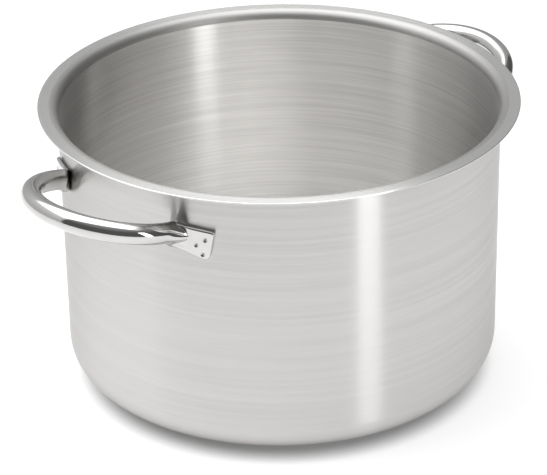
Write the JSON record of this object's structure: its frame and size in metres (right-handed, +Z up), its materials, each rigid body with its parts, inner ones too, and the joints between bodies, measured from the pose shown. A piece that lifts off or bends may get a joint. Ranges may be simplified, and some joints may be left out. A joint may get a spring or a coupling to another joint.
{
  "type": "stock pot",
  "caption": "Straight-walled steel cooking pot with a flared pouring lip, a bonded sandwich base and bent-tube loop handles spot-welded to the wall.",
  "frame": {"origin": "centre of the underside of the base, on the surface that the pot stands on", "axes": "+Z up along the pot's axis, +X through the middle of the right handle, -X through the left handle, -Y front"},
  "size_m": [0.3862, 0.3066, 0.1885],
  "materials": {
    "satin_steel": "satin stainless steel, brushed round the axis",
    "core_aluminium": "mill, sealed inside the base",
    "polished_steel": "polished stainless steel tube",
    "weld_steel": "dull spot-weld dimple"
  },
  "bodies": {
    "root": {"pot_body": "satin_steel", "base_core": "core_aluminium", "base_cap": "satin_steel", "left_handle": "polished_steel", "right_handle": "polished_steel", "left_front_welds": "weld_steel", "left_rear_welds": "weld_steel", "right_front_welds": "weld_steel", "right_rear_welds": "weld_steel"}
  },
  "joints": []
}
